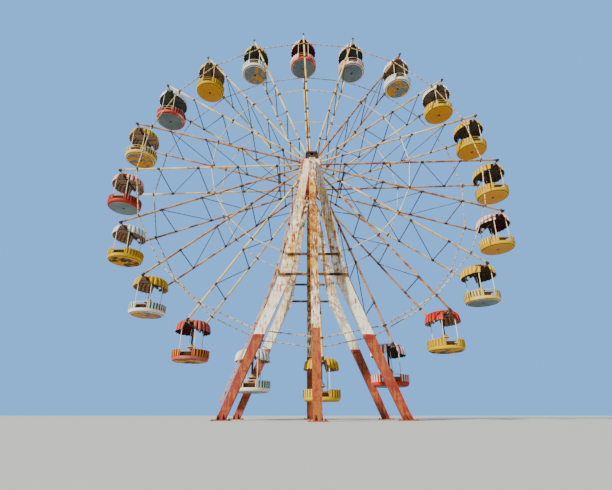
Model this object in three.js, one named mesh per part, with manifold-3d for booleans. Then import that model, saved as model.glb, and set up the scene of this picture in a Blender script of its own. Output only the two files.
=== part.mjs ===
// A fairground ferris wheel of the 1970s pattern: a 26 m wheel between two steel
// A-frames, with twenty open round cabins under umbrella roofs.
// Millimetres, +Z up. The origin lies on the ground, midway between the six feet.
// X runs across the wheel, and the wheel turns about an axis along Y.
import * as THREE from "three";
import { ConvexGeometry } from "three/addons/geometries/ConvexGeometry.js";
import { mergeVertices } from "three/addons/utils/BufferGeometryUtils.js";
import Module from "manifold-3d";

// Driving dimensions of the wheel
const HUB_HEIGHT = 14200;
const SPOKE_COUNT = 20;
const TURN_AT_REST = THREE.MathUtils.degToRad(-2.3);
const PLANE_OFFSET = 1395; // each plane of spokes lies this far from the middle
const TIP_RADIUS = 11500; // where the cabins hang
const TIP_END = 70; // how far a spoke runs on past the cabin's pivot
const RIM_RADIUS = 10450;
const INNER_RING_RADIUS = 6000;
const CROSS_BAR_RADII = [9170, 6800, 4430, 2060];
const SPOKE_ROOT = 480;
const SPOKE_WIDTH = 116;
const CROSS_BAR_WIDTH = 62;
const DIAGONAL_WIDTH = 50;
const RING_ROD_WIDTH = 64;
const SEAT_GAP = 0.3; // between pieces that touch
const RUNNING_GAP = 0.4; // between a shaft and the bore that it turns in

// Hub and axle
const FLANGE_RADIUS = 600;
const FLANGE_THICKNESS = 60;
const DRUM_RADIUS = 260;
const AXLE_RADIUS = 120;
const HUB_SIDES = 20;

// Driving dimensions of the mast
const LEG_PLANE = 2250; // each A-frame stands this far from the middle
const HEAD_WIDTH = 740;
const HEAD_DEPTH = 400;
const HEAD_ABOVE = 200; // bearing housing above and below the axle's centre
const HEAD_BELOW = 330;
const HEAD_SPREAD = 235;
const KNEE_HEIGHT = 6750; // where the legs spread and the ties cross
const KNEE_SPREAD = 1400;
const FOOT_SPREAD = 4120;
const LEG_DEPTH = 360;
const LEG_TOP_WIDTH = 360;
const LEG_KNEE_WIDTH = 600;
const LEG_FOOT_WIDTH = 380;
const STRUT_TOP_DROP = 500; // below the axle's centre
const STRUT_FOOT_REACH = 5000; // distance of the middle strut's foot from the wheel's middle
const STRUT_WIDTH = 360;
const FOOT_PLATE_SIZE = 760;
const FOOT_PLATE_THICKNESS = 40;
const TIE_HEIGHT = 110;
const TIE_DEPTH = 100;
const LOWER_TIE_HALF = 1760;
const UPPER_TIE_LEVEL = 7850;
const UPPER_TIE_HALF = 1330;

// Ladder up the front left leg
const LADDER_BOTTOM = 700;
const LADDER_TOP = 13300;
const LADDER_WIDTH = 340;
const LADDER_STAND_OFF = 150;
const LADDER_RAIL = 40;
const RUNG_PITCH = 900;

// Driving dimensions of a cabin, measured from its pivot
const FLOOR_DROP = 1860;
const CABIN_SIDES = 12;
const CABIN_RADIUS = 1000;
const FLOOR_DISC_RADIUS = 825;
const PAN_CURVE = 120;
const FLOOR_THICKNESS = 80;
const SILL_HEIGHT = 200;
const TUB_HEIGHT = 570;
const WALL_THICKNESS = 50;
const WALL_HALF_ANGLE = THREE.MathUtils.degToRad(75); // the entrances lie between the two halves
const BENCH_DEPTH = 350;
const BENCH_HEIGHT = 430;
const WELD = 5; // how far welded pieces reach into each other
const TABLE_RADIUS = 240;
const TABLE_LEVEL = 720;
const TABLE_THICKNESS = 40;
const CENTRE_POST_WIDTH = 100;
const CORNER_POST_WIDTH = 44;
const CORNER_POST_ANGLE = THREE.MathUtils.degToRad(65.5);
const ROOF_TOP = 285;
const ROOF_CROWN = 235;
const ROOF_CROWN_RADIUS = 640;
const ROOF_SHOULDER = 110;
const ROOF_SHOULDER_RADIUS = 840;
const ROOF_RIM = -40;
const ROOF_RADIUS = 955;
const ROOF_STRETCH = 1.14; // the roof is longer along the pivot bar than across it
const ROOF_THICKNESS = 42;
const SKIRT_DROP = 380;
const PIVOT_SIDES = 8;
const PIVOT_RADIUS = 40;
const SLEEVE_RADIUS = 76;
const SLEEVE_HALF_LENGTH = 900;

const wasm = await Module();
wasm.setup();

// Solids: three.js geometry in, one closed geometry out

function toSolid(geometry) {
  const bare = geometry.clone();
  bare.deleteAttribute("normal");
  bare.deleteAttribute("uv");
  const merged = mergeVertices(bare, 1e-3);
  return new wasm.Manifold(
    new wasm.Mesh({
      numProp: 3,
      vertProperties: merged.attributes.position.array,
      triVerts: new Uint32Array(merged.index.array),
    }),
  );
}

function toGeometry(solid) {
  const mesh = solid.getMesh();
  const geometry = new THREE.BufferGeometry();
  geometry.setAttribute("position", new THREE.BufferAttribute(mesh.vertProperties, 3));
  geometry.setIndex(new THREE.BufferAttribute(mesh.triVerts, 1));
  geometry.computeVertexNormals();
  return geometry;
}

const join = (geometries) => geometries.map(toSolid).reduce((whole, solid) => whole.add(solid));

// Shapes that the pieces are made of

const point = (x, y, z) => new THREE.Vector3(x, y, z);

// A straight bar of square section from one point to another.
function bar(from, to, width) {
  const along = to.clone().sub(from);
  const length = along.length();
  along.normalize();
  const guide = Math.abs(along.y) > 0.99 ? point(1, 0, 0) : point(0, 1, 0);
  const side = guide.clone().cross(along).normalize();
  const other = along.clone().cross(side);
  const frame = new THREE.Matrix4().makeBasis(side, other, along);
  frame.setPosition(from.clone().add(to).multiplyScalar(0.5));
  return new THREE.BoxGeometry(width, width, length).applyMatrix4(frame);
}

const box = (width, depth, height, centre) =>
  new THREE.BoxGeometry(width, depth, height).translate(centre.x, centre.y, centre.z);

// A cylinder of few sides along Y; turn sets where its first edge lies.
const cylinderAlongY = (radius, length, sides, turn = 0) =>
  new THREE.CylinderGeometry(radius, radius, length, sides).rotateY(turn);

// The bore that a shaft of this radius turns in, its flats opposite the shaft's edges.
const boreAlongY = (shaftRadius, length, sides) =>
  cylinderAlongY((shaftRadius + RUNNING_GAP) / Math.cos(Math.PI / sides), length, sides);

// A tapering box beam between level rectangles, given as [centre, width, depth].
function taperedBeam(sections) {
  const corners = sections.flatMap(([centre, width, depth]) =>
    [-0.5, 0.5].flatMap((sx) =>
      [-0.5, 0.5].map((sy) => point(centre.x + sx * width, centre.y + sy * depth, centre.z)),
    ),
  );
  return new ConvexGeometry(corners);
}

// A curved wall round one side of a cabin, raised from one level to another.
function arcWall(outer, inner, low, high, facing) {
  const steps = Math.round((WALL_HALF_ANGLE * CABIN_SIDES) / Math.PI);
  const angles = Array.from({ length: steps + 1 }, (_, i) => WALL_HALF_ANGLE * ((2 * i) / steps - 1));
  const at = (radius) => (angle) => new THREE.Vector2(radius * Math.cos(angle), radius * Math.sin(angle));
  const plan = new THREE.Shape([...angles.map(at(outer)), ...angles.reverse().map(at(inner))]);
  const wall = new THREE.ExtrudeGeometry(plan, { depth: high - low, bevelEnabled: false });
  return wall.translate(0, 0, low).rotateZ(facing);
}

// A shape turned about the vertical axis from [radius, height] pairs, bottom first, with
// flats that face along X and Y.
function turned(profile, sides) {
  const points = profile.map(([radius, height]) => new THREE.Vector2(radius, height));
  return new THREE.LatheGeometry(points, sides, Math.PI / 2 + Math.PI / sides).rotateX(Math.PI / 2);
}

// Wheel

const spokeAngle = (index) => TURN_AT_REST + (index * 2 * Math.PI) / SPOKE_COUNT;

// One pair of spokes pointing straight up: front and rear spoke, cross bars, the
// diagonals between them and the pivot bar that carries the cabin.
function spokeFrame(index) {
  const across = (radius) => [point(0, -PLANE_OFFSET, radius), point(0, PLANE_OFFSET, radius)];
  const spokes = [-PLANE_OFFSET, PLANE_OFFSET].map((y) =>
    bar(point(0, y, SPOKE_ROOT), point(0, y, TIP_RADIUS + TIP_END), SPOKE_WIDTH),
  );
  const crossBars = CROSS_BAR_RADII.map((radius) => bar(...across(radius), CROSS_BAR_WIDTH));
  const outerEnd = index % 2 ? 1 : 0;
  const diagonals = CROSS_BAR_RADII.slice(1).map((radius, i) =>
    bar(across(CROSS_BAR_RADII[i])[1 - outerEnd], across(radius)[outerEnd], DIAGONAL_WIDTH),
  );
  const turn = Math.PI / PIVOT_SIDES - spokeAngle(index);
  const pivot = cylinderAlongY(PIVOT_RADIUS, 2 * PLANE_OFFSET, PIVOT_SIDES, turn);
  return toGeometry(join([...spokes, ...crossBars, ...diagonals, pivot.translate(0, 0, TIP_RADIUS)]));
}

// A ring of straight rods, one from each spoke to the next, on the outer face of the spokes.
function ring(radius, side) {
  const half = RING_ROD_WIDTH / 2;
  const level = side * (PLANE_OFFSET + SPOKE_WIDTH / 2 + SEAT_GAP + half);
  const corners = [[-1, -1], [1, -1], [1, 1], [-1, 1], [-1, -1]];
  const section = corners.map(([r, y]) => new THREE.Vector2(radius + r * half, level + y * half));
  return new THREE.LatheGeometry(section, SPOKE_COUNT);
}

// Axle, hub drum and the two flanges that the spokes are bolted to.
function hub() {
  const turn = Math.PI / HUB_SIDES;
  const axleLength = 2 * (LEG_PLANE + HEAD_DEPTH / 2);
  const flangeLevel = PLANE_OFFSET - SPOKE_WIDTH / 2 - SEAT_GAP - FLANGE_THICKNESS / 2;
  const flanges = [-flangeLevel, flangeLevel].map((y) =>
    cylinderAlongY(FLANGE_RADIUS, FLANGE_THICKNESS, HUB_SIDES, turn).translate(0, y, 0),
  );
  return toGeometry(
    join([
      cylinderAlongY(AXLE_RADIUS, axleLength, HUB_SIDES, turn),
      cylinderAlongY(DRUM_RADIUS, 2 * flangeLevel, HUB_SIDES, turn),
      ...flanges,
    ]),
  );
}

// Mast

const footPlate = (foot) =>
  box(FOOT_PLATE_SIZE, FOOT_PLATE_SIZE, FOOT_PLATE_THICKNESS, foot.clone().setZ(FOOT_PLATE_THICKNESS / 2));

const LEG_TOP = HUB_HEIGHT - HEAD_BELOW - SEAT_GAP;

// One leg: a welded box that is widest at the knee and stands on its foot plate.
function leg(side, hand) {
  const y = side * LEG_PLANE;
  const top = [point(hand * HEAD_SPREAD, y, LEG_TOP), LEG_TOP_WIDTH, LEG_DEPTH];
  const knee = [point(hand * KNEE_SPREAD, y, KNEE_HEIGHT), LEG_KNEE_WIDTH, LEG_DEPTH];
  const foot = [point(hand * FOOT_SPREAD, y, 0), LEG_FOOT_WIDTH, LEG_DEPTH];
  return toGeometry(join([taperedBeam([top, knee]), taperedBeam([knee, foot]), footPlate(foot[0])]));
}

const STRUT_TOP_REACH = LEG_PLANE + LEG_DEPTH / 2 + STRUT_WIDTH / 2 + SEAT_GAP;

// The strut that props the head from outside, on the centre line.
function strut(side) {
  const top = point(0, side * STRUT_TOP_REACH, HUB_HEIGHT - STRUT_TOP_DROP);
  const foot = point(0, side * STRUT_FOOT_REACH, 0);
  const shaft = taperedBeam([[top, STRUT_WIDTH, STRUT_WIDTH], [foot, STRUT_WIDTH, STRUT_WIDTH]]);
  return toGeometry(join([shaft, footPlate(foot)]));
}

// The bearing housing on top of an A-frame.
function head(side) {
  const centre = point(0, side * LEG_PLANE, HUB_HEIGHT + (HEAD_ABOVE - HEAD_BELOW) / 2);
  const block = toSolid(box(HEAD_WIDTH, HEAD_DEPTH, HEAD_ABOVE + HEAD_BELOW, centre));
  const bore = boreAlongY(AXLE_RADIUS, 2 * HEAD_DEPTH, HUB_SIDES).translate(0, centre.y, HUB_HEIGHT);
  return toGeometry(block.subtract(toSolid(bore)));
}

const TIE_LEVEL_Y = LEG_PLANE + LEG_DEPTH / 2 + SEAT_GAP + TIE_DEPTH / 2;

// The tie across the knees, with the brace that runs out from it to the middle strut.
function kneeTie(side) {
  const beam = box(2 * LOWER_TIE_HALF, TIE_DEPTH, TIE_HEIGHT, point(0, side * TIE_LEVEL_Y, KNEE_HEIGHT));
  const share = KNEE_HEIGHT / (HUB_HEIGHT - STRUT_TOP_DROP);
  const strutReach = THREE.MathUtils.lerp(STRUT_FOOT_REACH, STRUT_TOP_REACH, share);
  const slope = (STRUT_FOOT_REACH - STRUT_TOP_REACH) / (HUB_HEIGHT - STRUT_TOP_DROP);
  const end = strutReach - STRUT_WIDTH / 2 - SEAT_GAP - (slope * TIE_HEIGHT) / 2;
  const middle = point(0, (side * (TIE_LEVEL_Y + end)) / 2, KNEE_HEIGHT);
  return toGeometry(join([beam, box(TIE_HEIGHT, end - TIE_LEVEL_Y, TIE_HEIGHT, middle)]));
}

const upperTie = (side) =>
  box(2 * UPPER_TIE_HALF, TIE_DEPTH, TIE_HEIGHT, point(0, side * TIE_LEVEL_Y, UPPER_TIE_LEVEL));

// The outer face of the left legs at a height.
function leftFace(z) {
  const below = z < KNEE_HEIGHT;
  const share = below ? z / KNEE_HEIGHT : (z - KNEE_HEIGHT) / (LEG_TOP - KNEE_HEIGHT);
  const lerp = THREE.MathUtils.lerp;
  const low = below ? FOOT_SPREAD + LEG_FOOT_WIDTH / 2 : KNEE_SPREAD + LEG_KNEE_WIDTH / 2;
  const high = below ? KNEE_SPREAD + LEG_KNEE_WIDTH / 2 : HEAD_SPREAD + LEG_TOP_WIDTH / 2;
  return -lerp(low, high, share);
}

// The ladder on the outer face of the front left leg: two rails, rungs and the
// brackets that hold it off the leg.
function ladder() {
  const on = (y, z) => point(leftFace(z) - LADDER_STAND_OFF, y, z);
  const railLevels = [-1, 1].map((hand) => -LEG_PLANE + (hand * LADDER_WIDTH) / 2);
  const pieces = railLevels.flatMap((y) => [
    bar(on(y, LADDER_BOTTOM), on(y, KNEE_HEIGHT), LADDER_RAIL),
    bar(on(y, KNEE_HEIGHT), on(y, LADDER_TOP), LADDER_RAIL),
  ]);
  for (let z = LADDER_BOTTOM + RUNG_PITCH / 2; z < LADDER_TOP; z += RUNG_PITCH)
    pieces.push(bar(on(railLevels[0], z), on(railLevels[1], z), LADDER_RAIL * 0.7));
  const spacing = 3 * RUNG_PITCH;
  for (let z = LADDER_BOTTOM + RUNG_PITCH; z < LADDER_TOP; z += spacing) {
    const wall = leftFace(z - LADDER_RAIL / 2) - SEAT_GAP;
    const start = on(-LEG_PLANE, z).x - LADDER_RAIL / 2;
    const middle = point((wall + start) / 2, -LEG_PLANE, z);
    pieces.push(box(wall - start, LADDER_WIDTH + LADDER_RAIL, LADDER_RAIL, middle));
  }
  return toGeometry(join(pieces));
}

// Cabin, with its pivot at the origin

const FLOOR_LEVEL = -FLOOR_DROP;
const INNER_RADIUS = CABIN_RADIUS - WALL_THICKNESS;
const FACINGS = [0, Math.PI];

// The round floor pan with its rolled edge and low sill.
const floorPan = () =>
  turned(
    [
      [0, 0],
      [FLOOR_DISC_RADIUS, 0],
      [CABIN_RADIUS - WALL_THICKNESS / 2, PAN_CURVE],
      [CABIN_RADIUS - WALL_THICKNESS / 2, SILL_HEIGHT],
      [INNER_RADIUS, SILL_HEIGHT],
      [INNER_RADIUS, FLOOR_THICKNESS],
      [0, FLOOR_THICKNESS],
    ],
    CABIN_SIDES,
  ).translate(0, 0, FLOOR_LEVEL);

// The domed roof sheet.
const roofDome = () =>
  turned(
    [
      [0, ROOF_TOP - ROOF_THICKNESS],
      [ROOF_SHOULDER_RADIUS - 2 * ROOF_THICKNESS, ROOF_SHOULDER - ROOF_THICKNESS],
      [ROOF_RADIUS - ROOF_THICKNESS, ROOF_RIM - ROOF_THICKNESS],
      [ROOF_RADIUS, ROOF_RIM],
      [ROOF_SHOULDER_RADIUS, ROOF_SHOULDER],
      [ROOF_CROWN_RADIUS, ROOF_CROWN],
      [0, ROOF_TOP],
    ],
    CABIN_SIDES,
  ).scale(1, ROOF_STRETCH, 1);

// The skirt that hangs from the roof on one side.
const roofSkirt = (facing) =>
  arcWall(ROOF_RADIUS, ROOF_RADIUS - ROOF_THICKNESS, -SKIRT_DROP, ROOF_RIM, facing)
    .scale(1, ROOF_STRETCH, 1);

const table = () =>
  turned(
    [
      [0, 0],
      [TABLE_RADIUS, 0],
      [TABLE_RADIUS, TABLE_THICKNESS],
      [0, TABLE_THICKNESS],
    ],
    PIVOT_SIDES,
  ).translate(0, 0, FLOOR_LEVEL + TABLE_LEVEL);

// The four slim posts at the corners of the entrances.
function cornerPosts() {
  const low = CABIN_RADIUS - WALL_THICKNESS;
  const high = ROOF_RADIUS - ROOF_THICKNESS;
  const at = (radius, angle, z) => point(radius * Math.cos(angle), radius * Math.sin(angle), z);
  return FACINGS.flatMap((facing) =>
    [-CORNER_POST_ANGLE, CORNER_POST_ANGLE].map((angle) =>
      bar(
        at(low, facing + angle, FLOOR_LEVEL + TUB_HEIGHT - CORNER_POST_WIDTH),
        at(high, facing + angle, ROOF_RIM - ROOF_THICKNESS).multiply(point(1, ROOF_STRETCH, 1)),
        CORNER_POST_WIDTH,
      ),
    ),
  );
}

function cabin() {
  const wallFoot = FLOOR_LEVEL + PAN_CURVE + WALL_THICKNESS;
  const benchFoot = FLOOR_LEVEL + FLOOR_THICKNESS / 2;
  const bench = FLOOR_LEVEL + BENCH_HEIGHT;
  const halves = FACINGS.flatMap((facing) => [
    arcWall(CABIN_RADIUS, INNER_RADIUS, wallFoot, FLOOR_LEVEL + TUB_HEIGHT, facing),
    arcWall(INNER_RADIUS + WELD, INNER_RADIUS - BENCH_DEPTH, benchFoot, bench, facing),
    roofSkirt(facing),
  ]);
  const postHeight = FLOOR_DROP - FLOOR_THICKNESS / 2;
  const centrePost = box(CENTRE_POST_WIDTH, CENTRE_POST_WIDTH, postHeight, point(0, 0, -postHeight / 2));
  const sleeve = cylinderAlongY(SLEEVE_RADIUS, 2 * SLEEVE_HALF_LENGTH, PIVOT_SIDES);
  const whole = join([floorPan(), ...halves, centrePost, table(), ...cornerPosts(), roofDome(), sleeve]);
  const bore = boreAlongY(PIVOT_RADIUS, 3 * SLEEVE_HALF_LENGTH, PIVOT_SIDES);
  return toGeometry(whole.subtract(toSolid(bore)));
}

// Colours of the old paint

const paint = (color, roughness = 0.7, metalness = 0.1) =>
  new THREE.MeshStandardMaterial({ color, roughness, metalness });
const MAST_WHITE = 0xd9d2bd;
const SPOKE_CREAM = 0xcdb77e;
const RING_CREAM = 0xd8d0a0;
const FLANGE_RED = 0xb85a4a;
const HEAD_BROWN = 0x2e241c;
const TIE_BROWN = 0x4a3626;
const LADDER_CREAM = 0xc9b98c;
const CABIN_PAINTS = {
  rose: 0xcf8a80,
  white: 0xd6cfc8,
  yellow: 0xd8b33a,
  cream: 0xe0cf80,
  red: 0xc2453c,
  green: 0xb9c9b8,
  olive: 0xcbbd7c,
};
// Clockwise from the cabin at the top, as seen from the front.
const CABIN_ORDER = [
  "rose", "white", "white", "yellow", "yellow", "yellow", "cream", "cream", "yellow", "red",
  "yellow", "white", "red", "green", "yellow", "red", "olive", "rose", "yellow", "white",
];

// The whole wheel, put together

const wheel = new THREE.Group();
const ground = new THREE.Group();

function addPiece(parent, name, geometry, color, position = point(0, 0, 0), turn = 0) {
  const mesh = new THREE.Mesh(geometry, paint(color));
  mesh.name = name;
  mesh.position.copy(position);
  mesh.rotation.y = turn;
  parent.add(mesh);
}

const SIDES = [["front", -1], ["rear", 1]];
const HANDS = [["left", -1], ["right", 1]];
const hubCentre = point(0, 0, HUB_HEIGHT);

for (const [sideName, side] of SIDES) {
  for (const [handName, hand] of HANDS)
    addPiece(ground, `leg_${sideName}_${handName}`, leg(side, hand), MAST_WHITE);
  addPiece(ground, `strut_${sideName}`, strut(side), MAST_WHITE);
  addPiece(ground, `bearing_housing_${sideName}`, head(side), HEAD_BROWN);
  addPiece(ground, `knee_tie_${sideName}`, kneeTie(side), TIE_BROWN);
  addPiece(ground, `upper_tie_${sideName}`, upperTie(side), TIE_BROWN);
  for (const [ringName, radius] of [["outer_ring", RIM_RADIUS], ["inner_ring", INNER_RING_RADIUS]])
    addPiece(wheel, `${ringName}_${sideName}`, ring(radius, side), RING_CREAM, hubCentre, TURN_AT_REST);
}
addPiece(ground, "ladder", ladder(), LADDER_CREAM);
addPiece(wheel, "hub", hub(), FLANGE_RED, hubCentre);

const cabinShape = cabin();
for (let i = 0; i < SPOKE_COUNT; i++) {
  const number = String(i + 1).padStart(2, "0");
  const angle = spokeAngle(i);
  const tip = point(TIP_RADIUS * Math.sin(angle), 0, HUB_HEIGHT + TIP_RADIUS * Math.cos(angle));
  addPiece(wheel, `spoke_frame_${number}`, spokeFrame(i), SPOKE_CREAM, hubCentre, angle);
  addPiece(wheel, `cabin_${number}`, cabinShape, CABIN_PAINTS[CABIN_ORDER[i]], tip);
}

const ferrisWheel = new THREE.Group();
ferrisWheel.add(ground, wheel);

export default ferrisWheel;
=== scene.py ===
# An old fairground ferris wheel: painted steel gone to rust and chalk, with twenty
# round cabins in faded fairground colours. Metres, +Z up, wheel axle along Y.
import math

import bpy
from mathutils import Matrix, Vector


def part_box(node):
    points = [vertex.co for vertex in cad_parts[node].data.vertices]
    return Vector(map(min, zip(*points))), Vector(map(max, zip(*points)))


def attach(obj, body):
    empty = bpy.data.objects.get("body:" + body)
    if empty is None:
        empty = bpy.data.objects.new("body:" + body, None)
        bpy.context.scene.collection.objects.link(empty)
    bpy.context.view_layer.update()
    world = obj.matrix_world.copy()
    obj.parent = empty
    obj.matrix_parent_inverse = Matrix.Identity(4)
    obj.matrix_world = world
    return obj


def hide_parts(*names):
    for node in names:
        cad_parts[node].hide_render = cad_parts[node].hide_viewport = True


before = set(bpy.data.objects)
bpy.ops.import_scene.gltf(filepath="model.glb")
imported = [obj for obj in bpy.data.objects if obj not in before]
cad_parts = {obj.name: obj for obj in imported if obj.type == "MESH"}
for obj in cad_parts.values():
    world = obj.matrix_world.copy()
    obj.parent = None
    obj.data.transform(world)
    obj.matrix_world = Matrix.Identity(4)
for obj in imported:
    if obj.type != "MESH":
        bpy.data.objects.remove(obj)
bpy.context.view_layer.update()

# Camera and light: seen from the ground in front of the wheel, looking up, in soft
# daylight that comes over the left shoulder, above a plain pale floor.
eye = Vector((-0.742, -20.32, 0.221))
heading = math.radians(0.65)
upward = math.radians(23.26)
level_reach = math.cos(upward)
look = Vector((math.sin(heading) * level_reach, math.cos(heading) * level_reach, math.sin(upward)))
camera = bpy.data.objects.new("camera", bpy.data.cameras.new("camera"))
bpy.context.scene.collection.objects.link(camera)
camera.location = eye
camera.rotation_euler = look.to_track_quat("-Z", "Y").to_euler()
camera.data.lens = 22.19
camera.data.shift_x = 0.0057
camera.data.shift_y = 0.0134
camera.data.clip_end = 500
bpy.context.scene.camera = camera

sun_direction = Vector((0.62, 0.60, -0.50))
sun = bpy.data.objects.new("sun", bpy.data.lights.new("sun", "SUN"))
bpy.context.scene.collection.objects.link(sun)
sun.data.energy = 7.2
sun.data.angle = math.radians(3)
sun.data.color = (1.0, 0.92, 0.74)
sun.rotation_euler = sun_direction.to_track_quat("-Z", "Y").to_euler()

world = bpy.data.worlds.new("sky")
bpy.context.scene.world = world
world.use_nodes = True
sky = world.node_tree
sky_light = sky.nodes["Background"]
sky_light.inputs["Color"].default_value = (0.30, 0.50, 0.80, 1)
sky_light.inputs["Strength"].default_value = 0.6
sky_seen = sky.nodes.new("ShaderNodeBackground")
sky_seen.inputs["Color"].default_value = (0.18, 0.47, 0.96, 1)
sky_seen.inputs["Strength"].default_value = 1.25
sky_choice = sky.nodes.new("ShaderNodeMixShader")
ray_kind = sky.nodes.new("ShaderNodeLightPath")
sky.links.new(ray_kind.outputs["Is Camera Ray"], sky_choice.inputs[0])
sky.links.new(sky_light.outputs[0], sky_choice.inputs[1])
sky.links.new(sky_seen.outputs[0], sky_choice.inputs[2])
sky.links.new(sky_choice.outputs[0], sky.nodes["World Output"].inputs["Surface"])


def deselect():
    if bpy.context.mode != "OBJECT":
        bpy.ops.object.mode_set(mode="OBJECT")
    bpy.ops.object.select_all(action="DESELECT")


floor_width = 400
floor_drop = 0.002
deselect()
bpy.ops.mesh.primitive_plane_add(size=floor_width, location=(0, 0, -floor_drop))
floor = bpy.context.object
floor.name = "floor"
floor_material = bpy.data.materials.new("pale_floor")
floor_material.use_nodes = True
floor_shader = floor_material.node_tree.nodes["Principled BSDF"]
floor_shader.inputs["Base Color"].default_value = (0.62, 0.62, 0.60, 1)
floor_shader.inputs["Roughness"].default_value = 0.95
floor.data.materials.append(floor_material)


# Weathered paint: brushed oil paint on steel, decades old. It fades in broad clouds,
# chalks, and flakes to orange and brown rust in patches, specks and runs.
def add_node(tree, kind, **values):
    node = tree.nodes.new(kind)
    for name, value in values.items():
        setattr(node, name, value)
    return node


def feed(tree, socket, given):
    if isinstance(given, (int, float, tuple)):
        socket.default_value = given
    else:
        tree.links.new(given, socket)


def noise(tree, coordinates, scale, detail, roughness=0.6):
    node = add_node(tree, "ShaderNodeTexNoise")
    node.inputs["Scale"].default_value = scale
    node.inputs["Detail"].default_value = detail
    node.inputs["Roughness"].default_value = roughness
    tree.links.new(coordinates, node.inputs["Vector"])
    return node.outputs["Fac"]


def ranged(tree, value, low, high, out_low=0.0, out_high=1.0):
    node = add_node(tree, "ShaderNodeMapRange", interpolation_type="SMOOTHSTEP")
    node.inputs["To Min"].default_value = out_low
    node.inputs["To Max"].default_value = out_high
    for socket, given in (("Value", value), ("From Min", low), ("From Max", high)):
        feed(tree, node.inputs[socket], given)
    return node.outputs["Result"]


def maths(tree, operation, first, second):
    node = add_node(tree, "ShaderNodeMath", operation=operation)
    for socket, given in zip(node.inputs, (first, second)):
        feed(tree, socket, given)
    return node.outputs[0]


def mixed(tree, share, first, second):
    node = add_node(tree, "ShaderNodeMix", data_type="RGBA")
    colour_inputs = [socket for socket in node.inputs if socket.type == "RGBA"]
    for socket, given in zip([node.inputs[0]] + colour_inputs, (share, first, second)):
        feed(tree, socket, given)
    return next(socket for socket in node.outputs if socket.type == "RGBA")


cloud_scale = 1.1
patch_scale = 3.2
speck_scale = 38
run_stretch = (9, 9, 0.7)
chalk_clouds = (0.38, 0.64)
orange_specks = (0.4, 0.62)
patch_weight = 0.72
speck_weight = 0.28
sound_edge = 0.78
rust_reach = 0.45
flake_width = 0.07
stain_width = 0.13
stain_colour = (0.50, 0.20, 0.035, 1)
stain_tint = 0.65
stain_cover = 0.75
brown_rust = (0.10, 0.032, 0.014, 1)
orange_rust = (0.44, 0.135, 0.022, 1)
paint_roughness = 0.52
rust_roughness = 0.9
flake_depth = -0.6
speck_relief = 0.3


def weathering_group():
    tree = bpy.data.node_groups.new("weathered_paint", "ShaderNodeTree")
    for name, kind, start in (
        ("Paint", "NodeSocketColor", (0.8, 0.7, 0.5, 1)),
        ("Chalk", "NodeSocketColor", (0.9, 0.88, 0.82, 1)),
        ("Chalking", "NodeSocketFloat", 0.3),
        ("Rust", "NodeSocketFloat", 0.3),
        ("Runs", "NodeSocketFloat", 0.3),
        ("Fineness", "NodeSocketFloat", 1.0),
    ):
        tree.interface.new_socket(name=name, in_out="INPUT", socket_type=kind).default_value = start
    for name, kind in (
        ("Color", "NodeSocketColor"),
        ("Roughness", "NodeSocketFloat"),
        ("Height", "NodeSocketFloat"),
    ):
        tree.interface.new_socket(name=name, in_out="OUTPUT", socket_type=kind)
    given = add_node(tree, "NodeGroupInput").outputs
    put_out = add_node(tree, "NodeGroupOutput").inputs

    sized = add_node(tree, "ShaderNodeVectorMath", operation="SCALE")
    tree.links.new(add_node(tree, "ShaderNodeTexCoord").outputs["Object"], sized.inputs[0])
    tree.links.new(given["Fineness"], sized.inputs["Scale"])
    place = sized.outputs["Vector"]
    stretched = add_node(tree, "ShaderNodeMapping")
    stretched.inputs["Scale"].default_value = run_stretch
    tree.links.new(place, stretched.inputs["Vector"])
    clouds = noise(tree, place, cloud_scale, 4)
    patches = noise(tree, place, patch_scale, 8, 0.68)
    specks = noise(tree, place, speck_scale, 6, 0.7)
    streaks = noise(tree, stretched.outputs["Vector"], 1.0, 6, 0.65)

    runs = maths(tree, "MULTIPLY", maths(tree, "SUBTRACT", streaks, 0.5), given["Runs"])
    patches = maths(tree, "MULTIPLY", patches, patch_weight)
    wear = maths(tree, "ADD", patches, maths(tree, "MULTIPLY", specks, speck_weight))
    wear = maths(tree, "ADD", wear, runs)
    edge = maths(tree, "SUBTRACT", sound_edge, maths(tree, "MULTIPLY", given["Rust"], rust_reach))
    rusted = ranged(tree, wear, edge, maths(tree, "ADD", edge, flake_width))
    stained = ranged(tree, wear, maths(tree, "SUBTRACT", edge, stain_width), edge)

    chalked = maths(tree, "MULTIPLY", ranged(tree, clouds, *chalk_clouds), given["Chalking"])
    paint = mixed(tree, chalked, given["Paint"], given["Chalk"])
    stain = mixed(tree, stain_tint, paint, stain_colour)
    paint = mixed(tree, maths(tree, "MULTIPLY", stained, stain_cover), paint, stain)
    rust = mixed(tree, ranged(tree, specks, *orange_specks), brown_rust, orange_rust)
    height = maths(
        tree,
        "ADD",
        maths(tree, "MULTIPLY", rusted, flake_depth),
        maths(tree, "MULTIPLY", specks, speck_relief),
    )
    tree.links.new(mixed(tree, rusted, paint, rust), put_out["Color"])
    tree.links.new(ranged(tree, rusted, 0, 1, paint_roughness, rust_roughness), put_out["Roughness"])
    tree.links.new(height, put_out["Height"])
    return tree


weathering = weathering_group()


def start_material(name):
    material = bpy.data.materials.new(name)
    material.use_nodes = True
    return material, material.node_tree, material.node_tree.nodes["Principled BSDF"]


def weathered(tree, paint, chalk, chalking, rust, runs, fineness=1.0):
    group = add_node(tree, "ShaderNodeGroup", node_tree=weathering)
    group.inputs["Paint"].default_value = (*paint, 1)
    group.inputs["Chalk"].default_value = (*chalk, 1)
    for name, value in (("Chalking", chalking), ("Rust", rust), ("Runs", runs), ("Fineness", fineness)):
        group.inputs[name].default_value = value
    return group


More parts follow.
